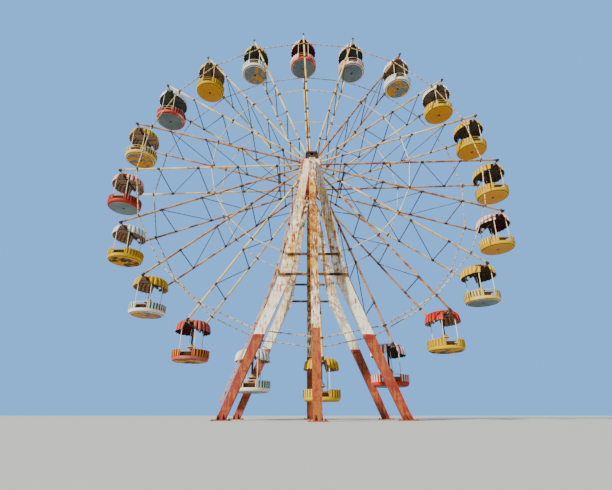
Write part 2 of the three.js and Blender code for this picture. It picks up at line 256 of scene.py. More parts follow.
def finish_paint(tree, shader, colour, roughness, height, depth, gloss=0.2):
    bump = add_node(tree, "ShaderNodeBump")
    bump.inputs["Strength"].default_value = 0.6
    bump.inputs["Distance"].default_value = depth
    tree.links.new(height, bump.inputs["Height"])
    tree.links.new(bump.outputs["Normal"], shader.inputs["Normal"])
    tree.links.new(colour, shader.inputs["Base Color"])
    tree.links.new(roughness, shader.inputs["Roughness"])
    shader.inputs["Specular IOR Level"].default_value = gloss


cream_chalk = (0.78, 0.74, 0.66)


def old_paint(name, paint, chalk=cream_chalk, chalking=0.35, rust=0.3, runs=0.4, depth=0.004, fineness=1.0):
    material, tree, shader = start_material(name)
    group = weathered(tree, paint, chalk, chalking, rust, runs, fineness)
    coat = group.outputs
    finish_paint(tree, shader, coat["Color"], coat["Roughness"], coat["Height"], depth)
    return material


def paint_node(node_name, material):
    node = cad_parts[node_name]
    node.data.materials.clear()
    node.data.materials.append(material)
    for face in node.data.polygons:
        face.material_index = 0


# Legs and struts: welded steel boxes, whitewashed over rust, with the lowest 3.7 metres
# painted red. Above the knee the whitewash is yellow and brown with rust water.
yellow_start = 4.6
yellow_full = 8.0
head_start = 11.3
head_full = 12.9
head_yellow = 0.25
yellow_below = 0.22
rust_below = 0.85
rust_above = 0.42
whitewash = (0.90, 0.86, 0.72)
fresh_white = (0.96, 0.95, 0.90)
brick_red = (0.24, 0.026, 0.017)
chalky_red = (0.34, 0.075, 0.050)
red_rust = 0.8
rust_water = (0.66, 0.40, 0.06, 1)
water_scale = 2.3
water_clouds = (0.46, 0.60)
ragged_scale = 9
ragged_height = 0.08
brush_line = 0.03
brush_blur = 0.02


def mast_paint(name, rust, runs, ochre, red_level):
    material, tree, shader = start_material(name)
    place = add_node(tree, "ShaderNodeTexCoord").outputs["Object"]
    split = add_node(tree, "ShaderNodeSeparateXYZ")
    tree.links.new(place, split.inputs["Vector"])
    level = split.outputs["Z"]
    white = weathered(tree, whitewash, fresh_white, 0.8, rust, runs, 1.5)
    red = weathered(tree, brick_red, chalky_red, 0.5, rust * red_rust, runs)

    yellow_rise = ranged(tree, level, yellow_start, yellow_full)
    head = ranged(tree, level, head_start, head_full, 1.0, head_yellow)
    upper = maths(tree, "MULTIPLY", yellow_rise, head)
    rusting = maths(tree, "ADD", rust * rust_below, maths(tree, "MULTIPLY", upper, rust * rust_above))
    tree.links.new(rusting, white.inputs["Rust"])
    clouds = ranged(tree, noise(tree, place, water_scale, 8, 0.75), *water_clouds)
    ochre_here = maths(tree, "ADD", maths(tree, "MULTIPLY", upper, ochre), ochre * yellow_below)
    yellowed = maths(tree, "MULTIPLY", clouds, ochre_here)
    stained_white = mixed(tree, yellowed, white.outputs["Color"], rust_water)

    ragged = maths(tree, "MULTIPLY", noise(tree, place, ragged_scale, 3), ragged_height)
    line = red_level + brush_line
    above = ranged(tree, maths(tree, "ADD", level, ragged), line, line + brush_blur)
    colour = mixed(tree, above, red.outputs["Color"], stained_white)
    roughness = add_node(tree, "ShaderNodeMix")
    tree.links.new(above, roughness.inputs[0])
    tree.links.new(red.outputs["Roughness"], roughness.inputs[2])
    tree.links.new(white.outputs["Roughness"], roughness.inputs[3])
    finish_paint(tree, shader, colour, roughness.outputs[0], white.outputs["Height"], 0.006)
    return material


leg_paint = mast_paint("leg_whitewash_and_red", 0.46, 0.9, 0.8, 3.76)
strut_paint = mast_paint("strut_whitewash_and_red", 0.72, 1.0, 0.9, 3.62)
for end in ("front", "rear"):
    paint_node(f"strut_{end}", strut_paint)
    for hand in ("left", "right"):
        paint_node(f"leg_{end}_{hand}", leg_paint)

# Ties and ladder: rolled bars bolted to the legs. The ties are dark brown where the
# paint has gone; cream paint still shows on the ladder, which is rusty as well.
tie_rust = old_paint("tie_rust", (0.034, 0.018, 0.011), (0.11, 0.07, 0.04), rust=0.42, runs=0.2)
ladder_paint = old_paint("ladder_cream", (0.55, 0.42, 0.20), rust=0.6, runs=0.3)
for end in ("front", "rear"):
    paint_node(f"knee_tie_{end}", tie_rust)
    paint_node(f"upper_tie_{end}", tie_rust)
paint_node("ladder", ladder_paint)


# Bearing housings: cast steel boxes bolted on top of the A-frames, painted dark brown,
# each with a round cap over the axle's end, a rim round the face and eight bolts.
def apply_place():
    bpy.ops.object.transform_apply(location=True, rotation=True, scale=True)


def edit_all():
    bpy.ops.object.mode_set(mode="EDIT")
    bpy.ops.mesh.select_all(action="SELECT")


def end_edit():
    bpy.ops.object.mode_set(mode="OBJECT")


def pick_faces(piece, wanted):
    bpy.ops.object.mode_set(mode="EDIT")
    bpy.ops.mesh.select_mode(type="FACE")
    bpy.ops.mesh.select_all(action="DESELECT")
    end_edit()
    for face in piece.data.polygons:
        face.select = wanted(face)
    bpy.ops.object.mode_set(mode="EDIT")


def block(width, depth, tall, centre, bevel=0.0):
    deselect()
    bpy.ops.mesh.primitive_cube_add(size=1, location=centre, scale=(width, depth, tall))
    piece = bpy.context.object
    apply_place()
    if bevel:
        edit_all()
        bpy.ops.mesh.bevel(offset=bevel, segments=2, affect="EDGES")
        end_edit()
    return piece


def round_bar(start, end, radius, sides=12, bevel=0.0):
    start, end = Vector(start), Vector(end)
    along = end - start
    deselect()
    bpy.ops.mesh.primitive_cylinder_add(
        vertices=sides,
        radius=radius,
        depth=along.length,
        location=(start + end) / 2,
        rotation=along.to_track_quat("Z", "Y").to_euler(),
    )
    piece = bpy.context.object
    if bevel:
        pick_faces(piece, lambda face: len(face.vertices) == sides)
        bpy.ops.mesh.bevel(offset=bevel, segments=2, affect="EDGES")
        end_edit()
    apply_place()
    return piece


def weld(pieces, name):
    deselect()
    for piece in pieces:
        piece.select_set(True)
    bpy.context.view_layer.objects.active = pieces[0]
    if len(pieces) > 1:
        bpy.ops.object.join()
    whole = bpy.context.object
    bpy.ops.object.shade_smooth_by_angle(angle=math.radians(40))
    whole.name = name
    whole.data.name = name
    return whole


coats = [bpy.data.materials.new(f"coat_{index}") for index in range(4)]


def finish_with(piece, *materials):
    if not piece.data.materials:
        piece.data.materials.append(coats[0])
    for place, coat in enumerate(list(piece.data.materials)):
        piece.data.materials[place] = materials[coats.index(coat)]
    return piece


def bolt(centre, outward, radius=0.018, height=0.016):
    centre, outward = Vector(centre), Vector(outward).normalized()
    return round_bar(centre, centre + outward * height, radius, 6)


hub_height = 14.2
crown_above_axle = 0.132
crown_bevel = 0.07
case_inset = 0.002
rim_width = 0.045
rim_slope = 0.008
face_recess = 0.02
cap_radius = 0.118
face_bolts = 8
face_bolts_across = 0.21275
face_bolts_up = 0.16
base_bolt_x = 0.31
base_bolt_y = 0.13
base_bolt_radius = 0.02
base_bolt_height = 0.03
housing_brown = old_paint("housing_brown", (0.022, 0.014, 0.010), (0.09, 0.065, 0.05), rust=0.2, runs=0.3)
for end, side in (("front", -1), ("rear", 1)):
    low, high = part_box(f"bearing_housing_{end}")
    middle = (low + high) / 2
    size = high - low
    foot = low.z + case_inset
    crown = hub_height + crown_above_axle
    case = block(
        size.x - 2 * case_inset,
        size.y - 2 * case_inset,
        crown - foot,
        (middle.x, middle.y, (crown + foot) / 2),
    )
    pick_faces(case, lambda face: face.normal.z > 0.5)
    bpy.ops.mesh.bevel(offset=crown_bevel, segments=3, affect="EDGES")
    end_edit()
    for facing in (-1, 1):
        pick_faces(case, lambda face: face.normal.y * facing > 0.9)
        bpy.ops.mesh.inset(thickness=rim_width, depth=0)
        bpy.ops.mesh.inset(thickness=rim_slope, depth=-face_recess)
        end_edit()
    face_level = middle.y + side * (size.y / 2 - case_inset - face_recess)
    cap_end = face_level + side * face_recess
    parts = [case, round_bar((0, face_level, hub_height), (0, cap_end, hub_height), cap_radius, 32, 0.006)]
    for turn in range(face_bolts):
        angle = math.tau * (turn + 0.5) / face_bolts
        across = face_bolts_across * math.cos(angle)
        level = (crown + low.z) / 2 + face_bolts_up * math.sin(angle)
        parts.append(bolt((across, face_level, level), (0, side, 0)))
    for x in (-base_bolt_x, base_bolt_x):
        for y in (-base_bolt_y, base_bolt_y):
            spot = (x, middle.y + y, low.z + 2 * case_inset)
            parts.append(bolt(spot, (0, 0, 1), base_bolt_radius, base_bolt_height))
    housing = finish_with(weld(parts, f"housing_case_{end}"), housing_brown)
    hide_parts(f"bearing_housing_{end}")
    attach(housing, "mast")

# Mast fittings: weld beads where the plates of a leg meet, bolted cover plates at the
# knees, cleats under the ends of the ties, and gussets and anchor bolts at the feet.
knee_level = 6.75
leg_plane = 2.25
leg_depth = 0.36
leg_stations = ((0.0, 4.12, 0.38), (knee_level, 1.40, 0.60), (13.87, 0.235, 0.36))
strut_width = 0.36
strut_stations = ((0.0, 5.0), (13.7, 2.61))


def leg_at(level):
    stretch = leg_stations[:2] if level < knee_level else leg_stations[1:]
    (low, low_spread, low_width), (high, high_spread, high_width) = stretch
    share = (level - low) / (high - low)
    return low_spread + (high_spread - low_spread) * share, low_width + (high_width - low_width) * share


def strut_at(level):
    (low, low_reach), (high, high_reach) = strut_stations
    return low_reach + (high_reach - low_reach) * (level - low) / (high - low)


plate_thickness = 0.012
plate_bevel = 0.003
bolt_margin = 0.09
plate_bolt_radius = 0.019
plate_bolt_height = 0.016


def bolted_plate(width, tall, centre, outward, columns, rows):
    centre = Vector(centre)
    middle = centre + Vector((0, outward * plate_thickness / 2, 0))
    plate = [block(width, plate_thickness, tall, middle, plate_bevel)]
    for column in range(columns):
        for row in range(rows):
            x = (column / (columns - 1) - 0.5) * (width - bolt_margin)
            z = (row / (rows - 1) - 0.5) * (tall - bolt_margin)
            spot = centre + Vector((x, outward * plate_thickness, z))
            plate.append(bolt(spot, (0, outward, 0), plate_bolt_radius, plate_bolt_height))
    return plate


foot_plate = 0.76
plate_top = 0.04
anchor_inset = 0.07
anchor_nut = 0.034
anchor_nut_height = 0.026
anchor_radius = 0.017
anchor_length = 0.055
gusset_length = 0.15
gusset_height = 0.24
gusset_bite = 0.002
gusset_tip = 0.2


def foot_fittings(x, y, wide):
    fittings = []
    reach = foot_plate / 2 - anchor_inset
    for across in (-1, 1):
        for along in (-1, 1):
            spot = Vector((x + across * reach, y + along * reach, plate_top))
            fittings.append(bolt(spot, (0, 0, 1), anchor_nut, anchor_nut_height))
            fittings.append(round_bar(spot, spot + Vector((0, 0, anchor_length)), anchor_radius, 12, 0.002))
        leg_face = y + across * (leg_depth / 2)
        middle = y + across * (leg_depth / 2 + gusset_length / 2 - gusset_bite)
        for place in (-wide / 3, wide / 3):
            centre = (x + place, middle, plate_top + gusset_height / 2)
            gusset = block(plate_thickness, gusset_length, gusset_height, centre)
            pick_faces(gusset, lambda face: face.normal.z > 0.9)
            bpy.ops.transform.resize(value=(1, gusset_tip, 1), center_override=(x, leg_face, 0))
            end_edit()
            fittings.append(gusset)
    return fittings


bead_height = 0.016
bead_bevel = 0.005
bead_across = 0.014
bead_along = 0.012
leg_beads = (2.1, 4.4, 8.6, 10.4, 12.2)
strut_beads = (2.3, 4.7, 9.2, 11.3)
knee_joint = 0.37
joint_plate_margin = 0.08
joint_plate_height = 0.42
knee_plate_margin = 0.14
knee_plate_height = 0.90
tie_depth = 0.1
cleat_margin = 0.2
cleat_height = 0.095
for end, side in (("front", -1), ("rear", 1)):
    for hand_name, hand in (("left", -1), ("right", 1)):
        spread, width = leg_at(0.0)
        fittings = foot_fittings(hand * spread, side * leg_plane, width)
        for level in leg_beads:
            spread, width = leg_at(level)
            spot = (hand * spread, side * leg_plane, level)
            bead = block(width + bead_across, leg_depth + bead_along, bead_height, spot, bead_bevel)
            fittings.append(bead)
        outer_face = side * (leg_plane + leg_depth / 2)
        for level in (knee_level - knee_joint, knee_level + knee_joint):
            spread, width = leg_at(level)
            spot = (hand * spread, outer_face, level)
            fittings += bolted_plate(width - joint_plate_margin, joint_plate_height, spot, side, 3, 3)
        spread, width = leg_at(knee_level)
        inner_face = side * (leg_plane - leg_depth / 2)
        spot = (hand * spread, inner_face, knee_level)
        fittings += bolted_plate(width - knee_plate_margin, knee_plate_height, spot, -side, 3, 5)
        mast_trim = finish_with(weld(fittings, f"leg_fittings_{end}_{hand_name}"), leg_paint)
        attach(mast_trim, "mast")
    fittings = foot_fittings(0, side * strut_at(0.0), strut_width)
    for level in strut_beads:
        spot = (0, side * strut_at(level), level)
        bead = block(strut_width + bead_along, strut_width + bead_across, bead_height, spot, bead_bevel)
        fittings.append(bead)
    strut_trim = finish_with(weld(fittings, f"strut_fittings_{end}"), strut_paint)
    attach(strut_trim, "mast")
    cleats = []
    tie_face = side * (leg_plane + leg_depth / 2 + tie_depth)
    for hand in (-1, 1):
        for name in ("knee_tie", "upper_tie"):
            low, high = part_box(f"{name}_{end}")
            level = (low.z + high.z) / 2
            spread, width = leg_at(level)
            spot = (hand * spread, tie_face, level)
            cleats += bolted_plate(width - cleat_margin, cleat_height, spot, side, 2, 2)
    tie_trim = finish_with(weld(cleats, f"tie_cleats_{end}"), tie_rust)
    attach(tie_trim, "mast")

# Hub: a steel drum on a thick axle between two round flanges, stiffened by webs and
# painted salmon red, with the clips and bolts that hold the spokes to the flanges.
spoke_count = 20
turn_at_rest = math.radians(-2.3)
spoke_plane = 1.395
flange_level = spoke_plane - 0.0883
half_flange = 0.029
flange_radius = 0.592
axle_radius = 0.119
axle_reach = 2.448
drum_radius = 0.255
boss_radius = 0.2
boss_length = 0.16
web_count = 10
web_size = Vector((0.016, 0.42, 0.30))
web_radius = 0.39
web_foot = 0.03
web_tip = 0.35
clip_plane = spoke_plane + 0.085
clip_radius = 0.618
clip_width = 0.16
half_clip = 0.006
clip_bolt_circle = 0.575
clip_bolt_length = 0.11
clip_bolt_radius = 0.012
clip_nut_radius = 0.02
clip_nut_height = 0.014
hub_red = old_paint("hub_salmon_red", (0.50, 0.085, 0.045), (0.64, 0.24, 0.16), rust=0.3, runs=0.2)
parts = [
    round_bar((0, -axle_reach, 0), (0, axle_reach, 0), axle_radius, 40),
    round_bar((0, -flange_level, 0), (0, flange_level, 0), drum_radius, 48),
]
for side in (-1, 1):
    level = side * flange_level
    flange_faces = (0, level - half_flange, 0), (0, level + half_flange, 0)
    parts.append(round_bar(*flange_faces, flange_radius, 64, 0.006))
    parts.append(round_bar((0, level, 0), (0, level + side * boss_length, 0), boss_radius, 40, 0.01))
    for turn in range(web_count):
        angle = turn_at_rest + math.tau * (turn + 0.25) / web_count
        web_middle = level - side * (web_foot + web_size.y / 2)
        web = block(*web_size, (0, web_middle, web_radius))
        pick_faces(web, lambda face: face.normal.z > 0.9)
        bpy.ops.transform.resize(value=(1, web_tip, 1), center_override=(0, level - side * web_foot, 0))
        end_edit()
        web.data.transform(Matrix.Rotation(angle, 4, "Y"))
        parts.append(web)
for side in (-1, 1):
    level = side * clip_plane
    ring = round_bar((0, level - half_clip, 0), (0, level + half_clip, 0), clip_radius, 64)
    pick_faces(ring, lambda face: abs(face.normal.y) > 0.9)
    bpy.ops.mesh.inset(thickness=clip_width, depth=0)
    bpy.ops.mesh.bridge_edge_loops()
    end_edit()
    parts.append(ring)
    for turn in range(spoke_count):
        angle = turn_at_rest + math.tau * (turn + 0.5) / spoke_count
        inner = level - side * half_clip
        spot = Vector((clip_bolt_circle * math.sin(angle), inner, clip_bolt_circle * math.cos(angle)))
        parts.append(round_bar(spot, spot - Vector((0, side * clip_bolt_length, 0)), clip_bolt_radius, 8))
        nut_foot = spot + Vector((0, side * 2 * half_clip, 0))
        parts.append(bolt(nut_foot, (0, side, 0), clip_nut_radius, clip_nut_height))
for part in parts:
    part.data.transform(Matrix.Translation((0, 0, hub_height)))
hub = finish_with(weld(parts, "hub_drum"), hub_red)
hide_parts("hub")
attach(hub, "wheel")

# Spoke pairs: two long tubes, one in front and one behind, kept apart by four cross
# bars and stiffened by diagonals. A pivot bar with cast eyes joins their outer ends.
tip_radius = 11.5
spoke_root = 0.484
spoke_end = tip_radius + 0.068
spoke_radius = 0.0575
collar_inner = 0.62
collar_outer = 0.64
collar_radius = 0.066
cross_radii = (9.17, 6.80, 4.43, 2.06)
cross_bar_radius = 0.030
half_sleeve = 0.09
sleeve_radius = 0.0625
diagonal_radius = 0.0235
gusset_plate = 0.15
gusset_inset = 0.09
gusset_shift = 0.08
tip_sleeve_inner = tip_radius - 0.16
tip_sleeve_outer = tip_radius + 0.05
tip_sleeve_radius = 0.068
eye_length = 0.14
eye_radius = 0.062
pivot_bar_radius = 0.0395
strap_radii = (0.50, 0.56)
strap_size = (0.20, 0.010, 0.022)
strap_depth = 0.053
backing_size = (0.17, 0.012, 0.02)
backing_depth = 0.064
strap_bolt_x = 0.075
strap_bolt_radius = 0.009
strap_bolt_inner = 0.06
strap_bolt_outer = 0.062
strap_nut_radius = 0.016
strap_nut_height = 0.014
spoke_cream = old_paint("spoke_cream", (0.82, 0.62, 0.18), (0.94, 0.84, 0.44), 0.85, 0.55, 0.0, 0.003, 0.4)
# Some spoke pairs take a darker orange-brown coat instead of the cream, partly rust and partly painted
# shade.
spoke_rust_and_shade = old_paint("spoke_rust_and_shade", (0.42, 0.20, 0.055), (0.84, 0.64, 0.24), 0.8, 0.68, 0.0, 0.003, 0.45)
# The brace paint's dark brown is painted shade on the cross bars, diagonals and gussets, with real rust
# flecks over it.
brace_shade_and_rust = old_paint("brace_shade_and_rust", (0.050, 0.032, 0.020), (0.30, 0.22, 0.11), 0.4, 0.35, 0.0, 0.003, 0.6)
dark_steel = old_paint("dark_steel", (0.030, 0.020, 0.016), (0.09, 0.06, 0.045), rust=0.30, runs=0.0)


def tint(pieces, index):
    for piece in pieces:
        piece.data.materials.append(coats[index])
    return pieces


def spoke_straps(y, side):
    straps = []
    for radius in strap_radii:
        straps.append(block(*strap_size, (0, y - side * strap_depth, radius), 0.002))
        for x in (-strap_bolt_x, strap_bolt_x):
            inner = (x, y - side * strap_bolt_inner, radius)
            outer = (x, y + side * strap_bolt_outer, radius)
            straps.append(round_bar(inner, outer, strap_bolt_radius, 8))
            straps.append(bolt(outer, (0, side, 0), strap_nut_radius, strap_nut_height))
        straps.append(block(*backing_size, (0, y + side * backing_depth, radius), 0.002))
    return straps


def spoke_pair(outer_side):
    tubes, braces, fittings = [], [], []
    for side in (-1, 1):
        y = side * spoke_plane
        tubes.append(round_bar((0, y, spoke_root), (0, y, spoke_end), spoke_radius, 16, 0.004))
        tubes.append(round_bar((0, y, collar_inner), (0, y, collar_outer), collar_radius, 16, 0.003))
        for radius in cross_radii:
            sleeve = (0, y, radius - half_sleeve), (0, y, radius + half_sleeve)
            fittings.append(round_bar(*sleeve, sleeve_radius, 16, 0.002))
        tip_sleeve = (0, y, tip_sleeve_inner), (0, y, tip_sleeve_outer)
        fittings.append(round_bar(*tip_sleeve, tip_sleeve_radius, 16, 0.006))
        eye_inner = (0, y - side * eye_length, tip_radius)
        fittings.append(round_bar(eye_inner, (0, y, tip_radius), eye_radius, 16, 0.006))
        fittings += spoke_straps(y, side)
    pivot_bar = (0, -spoke_plane, tip_radius), (0, spoke_plane, tip_radius)
    tubes.append(round_bar(*pivot_bar, pivot_bar_radius, 16))
    for radius in cross_radii:
        cross_bar = (0, -spoke_plane, radius), (0, spoke_plane, radius)
        braces.append(round_bar(*cross_bar, cross_bar_radius, 12))
    for outer, inner in zip(cross_radii, cross_radii[1:]):
        ends = (0, outer_side * spoke_plane, outer), (0, -outer_side * spoke_plane, inner)
        braces.append(round_bar(*ends, diagonal_radius, 10))
        for end_side, radius, way in ((outer_side, outer, -1), (-outer_side, inner, 1)):
            corner = (0, end_side * (spoke_plane - gusset_inset), radius + way * gusset_shift)
            braces.append(block(plate_thickness, gusset_plate, gusset_plate, corner, plate_bevel))
    tint(tubes, 0)
    tint(braces, 1)
    tint(fittings, 2)
    return weld(tubes + braces + fittings, "spoke_pair")


def copy_of(master, name, move):
    piece = bpy.data.objects.new(name, master.data.copy())
    bpy.context.scene.collection.objects.link(piece)
    piece.data.transform(move)
    piece.data.name = name
    return piece


def put_away(master):
    mesh = master.data
    bpy.data.objects.remove(master)
    bpy.data.meshes.remove(mesh)


masters = [spoke_pair(outer_side) for outer_side in (-1, 1)]
# These pairs take the darker coat, which is partly rust and partly painted shade.
rust_and_shade_pairs = (3, 6, 7, 9, 10, 12, 14, 15, 17)
for index in range(spoke_count):
    angle = turn_at_rest + index * math.tau / spoke_count
    to_place = Matrix.Translation((0, 0, hub_height)) @ Matrix.Rotation(angle, 4, "Y")
    pair = copy_of(masters[index % 2], f"spoke_pair_{index + 1:02d}", to_place)
    finish_with(pair, spoke_rust_and_shade if index + 1 in rust_and_shade_pairs else spoke_cream, brace_shade_and_rust, dark_steel)
    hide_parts(f"spoke_frame_{index + 1:02d}")
    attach(pair, "wheel")
for master in masters:
    put_away(master)

# Rings: straight tubes from spoke to spoke on the outer faces of the wheel. Each joint
# has a dark clamp round the spoke. The outer rings carry the dark sockets of lamps.
half_spoke_bar = 0.058
half_ring_bar = 0.032
bar_gap = 0.0003
ring_level = spoke_plane + half_spoke_bar + bar_gap + half_ring_bar
rod_radius = 0.0315
clamp_reach = 0.11
clamp_radius = 0.036
clamp_drop = 0.012
clamp_cheek = (0.034, 0.15, 0.07)
clamp_cheek_x = 0.075
clamp_cheek_depth = 0.045
clamp_back = (0.19, 0.012, 0.09)
clamp_back_depth = 0.065
outer_ring_radius = 10.45
inner_ring_radius = 6.0
lamps_a_bay = 7
half_socket = 0.026
socket_radius = 0.0345
ring_cream = old_paint("ring_cream", (0.74, 0.62, 0.27), (0.86, 0.79, 0.50), 0.7, 0.5, 0.0, 0.002)
ring_worn = old_paint("ring_worn_cream", (0.40, 0.30, 0.13), (0.82, 0.71, 0.40), 0.8, 0.5, 0.0, 0.002, 0.5)


def select_only(piece):
    deselect()
    piece.select_set(True)
    bpy.context.view_layer.objects.active = piece


def ring_bay(radius, side, lamps):
    y = side * ring_level
    bay = math.tau / spoke_count
    ends = [Vector((radius * math.sin(turn), y, radius * math.cos(turn))) for turn in (0, bay)]
    rods, holders = [round_bar(*ends, rod_radius, 10)], []
    clamp_ends = (-clamp_reach, y, radius), (clamp_reach, y, radius - clamp_drop)
    clamps = [round_bar(*clamp_ends, clamp_radius, 10, 0.004)]
    for x in (-clamp_cheek_x, clamp_cheek_x):
        clamps.append(block(*clamp_cheek, (x, y - side * clamp_cheek_depth, radius), 0.004))
    clamps.append(block(*clamp_back, (0, side * (spoke_plane - clamp_back_depth), radius), 0.003))
    half_length = (ends[1] - ends[0]).normalized() * half_socket
    for lamp in range(lamps):
        spot = ends[0].lerp(ends[1], (lamp + 1) / (lamps + 1))
        holders.append(round_bar(spot - half_length, spot + half_length, socket_radius, 8, 0.003))
    tint(rods, 0)
    tint(holders + clamps, 1)
    return weld(rods + clamps + holders, "ring_bay")


for end, side in (("front", -1), ("rear", 1)):
    for ring_name, radius, lamps in (
        ("outer_ring", outer_ring_radius, lamps_a_bay),
        ("inner_ring", inner_ring_radius, 0),
    ):
        ring = ring_bay(radius, side, lamps)
        select_only(ring)
        edit_all()
        bpy.ops.mesh.spin(
            steps=spoke_count - 1,
            dupli=True,
            angle=math.tau * (spoke_count - 1) / spoke_count,
            center=(0, 0, 0),
            axis=(0, 1, 0),
        )
        end_edit()
        ring.data.transform(Matrix.Translation((0, 0, hub_height)) @ Matrix.Rotation(turn_at_rest, 4, "Y"))
        ring.name = f"{ring_name}_rods_{end}"
        finish_with(ring, ring_worn if lamps else ring_cream, dark_steel)
        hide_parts(f"{ring_name}_{end}")
        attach(ring, "wheel")

# Cabin paint: each cabin was brushed in its own fairground colours. The troughs between
# the ribs of walls and roofs take a second, darker paint, partly a real second colour and
# partly painted shade; crests lighter than the band are partly a painted highlight. The
# roof linings are mostly dark, darker inside the skirt as painted shade, the floors grey
# or orange below, and on some floors both coats show.
fading = 0.8
fading_grey = 0.03
dull_gloss = 0.03
old_coat_edge = 0.56
old_coat_reach = 0.14
old_coat_blur = 0.03


def faded(paint):
    return [fading * part + fading_grey for part in paint]


def patched_paint(name, top_coat, old_coat, share, size):
    material, tree, shader = start_material(name)
    top = weathered(tree, top_coat, faded(top_coat), 0.4, 0.12, 0.0)
    old = weathered(tree, old_coat, faded(old_coat), 0.4, 0.3, 0.0)
    place = add_node(tree, "ShaderNodeTexCoord").outputs["Object"]
    edge = old_coat_edge - old_coat_reach * share
    flaked = ranged(tree, noise(tree, place, size, 4), edge, edge + old_coat_blur)
    colour = mixed(tree, flaked, top.outputs["Color"], old.outputs["Color"])
    finish_paint(tree, shader, colour, top.outputs["Roughness"], flaked, 0.002, dull_gloss)
    return material


chalk_white = (0.80, 0.78, 0.72)
paints = {
    "rose": old_paint("rose_red", (0.64, 0.055, 0.025), chalk_white, 0.75, 0.22, 0.3),
    "red": old_paint("fairground_red", (0.50, 0.012, 0.005), (0.62, 0.08, 0.035), 0.4, 0.22, 0.3),
    "maroon_red": old_paint("maroon_red", (0.13, 0.006, 0.004), (0.26, 0.035, 0.018), 0.4, 0.3, 0.3),
    "salmon": old_paint("salmon_red", (0.45, 0.070, 0.040), (0.60, 0.22, 0.16), 0.5, 0.25, 0.3),
    "orange": old_paint("orange_yellow", (0.66, 0.22, 0.0), (0.70, 0.36, 0.02), 0.5, 0.3, 0.3),
    "amber": old_paint("amber", (0.34, 0.175, 0.0), (0.44, 0.25, 0.0), 0.4, 0.2, 0.3),
    "white": old_paint("white", (0.84, 0.82, 0.77), (0.92, 0.91, 0.88), 0.5, 0.22, 0.4),
    "pink": old_paint("pinkish_white", (0.78, 0.50, 0.43), (0.86, 0.76, 0.72), 0.6, 0.2, 0.3),
    "blue": old_paint("pale_blue", (0.12, 0.36, 0.52), (0.42, 0.62, 0.72), 0.6, 0.2, 0.4),
    "teal": old_paint("teal_green", (0.022, 0.13, 0.11), (0.14, 0.30, 0.26), 0.5, 0.25, 0.3),
    "yellow": old_paint("egg_yellow", (0.62, 0.38, 0.0), (0.74, 0.49, 0.0), 0.5, 0.12, 0.3),
    "cream": old_paint("cream_yellow", (0.78, 0.52, 0.07), (0.86, 0.74, 0.34), 0.6, 0.25, 0.35),
    "olive": old_paint("olive_green", (0.10, 0.10, 0.025), (0.26, 0.25, 0.09), 0.5, 0.3, 0.35),
}

# The wheel's cabins clockwise from the top, as seen from the front, each with the paint
# of its band, wall troughs (partly painted shade), wall crests (partly painted highlight),
# roof, roof troughs (partly painted shade), roof lining and underside.
coat_places = ("band", "groove_paint_and_shade", "crests", "roof", "fold_paint_and_shade", "lining", "underside")
coat_lists = (
    "rose rose white pink rose maroon grey",
    "pink rose white pink rose green grey",
    "white blue white white blue umber patched",
    "yellow amber cream white blue umber orange",
    "yellow amber yellow yellow amber black orange",
    "yellow amber yellow yellow amber black orange",
    "yellow amber cream pink salmon maroon orange",
    "cream olive cream yellow amber black grey",
    "yellow amber yellow red maroon_red brown worn",
    "red red white white red green grey",
    "yellow amber cream yellow amber brown orange",
    "white teal white white blue brown patched",
    "salmon maroon_red orange salmon maroon_red maroon worn",
    "white teal white yellow amber brown blotched",
    "yellow amber yellow white blue brown worn",
    "red maroon_red salmon pink red brown grey",
    "cream olive cream yellow amber brown blotched",
    "rose maroon_red salmon white white slate grey",
    "yellow amber yellow cream amber umber orange",
    "white blue white cream olive green patched",
)
cabin_coats = [dict(zip(coat_places, words.split())) for words in coat_lists]


def hang(master, part_name, materials_for):
    for index, coat in enumerate(cabin_coats):
        number = f"{index + 1:02d}"
        angle = turn_at_rest + index * math.tau / spoke_count
        tip = Vector((tip_radius * math.sin(angle), 0, hub_height + tip_radius * math.cos(angle)))
        piece = copy_of(master, f"cabin_{number}_{part_name}", Matrix.Translation(tip))
        finish_with(piece, *materials_for(coat))
        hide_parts(f"cabin_{number}")
        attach(piece, f"cabin_{number}_body")
    put_away(master)


# Cabin floor: a pressed steel dish with a rolled edge, a smooth band round it as a
# sill, and the nut of the centre post below. All sizes are measured from the pivot.
floor_level = -1.86
dish_profile = [
    (0.05, 0.012), (0.796, 0.012), (0.799, 0.0), (0.812, 0.0), (0.845, 0.009), (0.885, 0.033),
    (0.918, 0.068), (0.938, 0.108), (0.944, 0.14), (0.944, 0.172), (0.930, 0.176), (0.930, 0.188),
    (0.946, 0.192), (0.946, 0.199), (0.918, 0.199), (0.914, 0.10), (0.05, 0.08),
]
underside_radius = 0.8
underside_top = floor_level + 0.014
well_radius = 0.9
well_top = floor_level + 0.12
nut_radius = 0.056
washer_radius = 0.084
washer_foot = floor_level + 0.004
floor_paints = {
    "grey": old_paint("grey_underside", (0.090, 0.135, 0.150), (0.19, 0.235, 0.245), 0.5, 0.12, 0.0),
    "orange": old_paint("orange_underside", (0.53, 0.22, 0.0), (0.60, 0.29, 0.0), 0.4, 0.12, 0.0),
    "patched": patched_paint("grey_over_orange", (0.14, 0.19, 0.21), (0.58, 0.25, 0.0), 0.3, 2.4),
    "worn": patched_paint("orange_over_brown", (0.54, 0.24, 0.0), (0.040, 0.026, 0.008), 0.45, 1.9),
    "blotched": patched_paint("orange_over_blue_grey", (0.54, 0.24, 0.0), (0.11, 0.14, 0.17), 0.4, 3.0),
}


def give_coats(piece, count):
    for coat in coats[:count]:
        piece.data.materials.append(coat)


def face_outward():
    bpy.ops.mesh.select_all(action="SELECT")
    bpy.ops.mesh.normals_make_consistent(inside=False)
    end_edit()


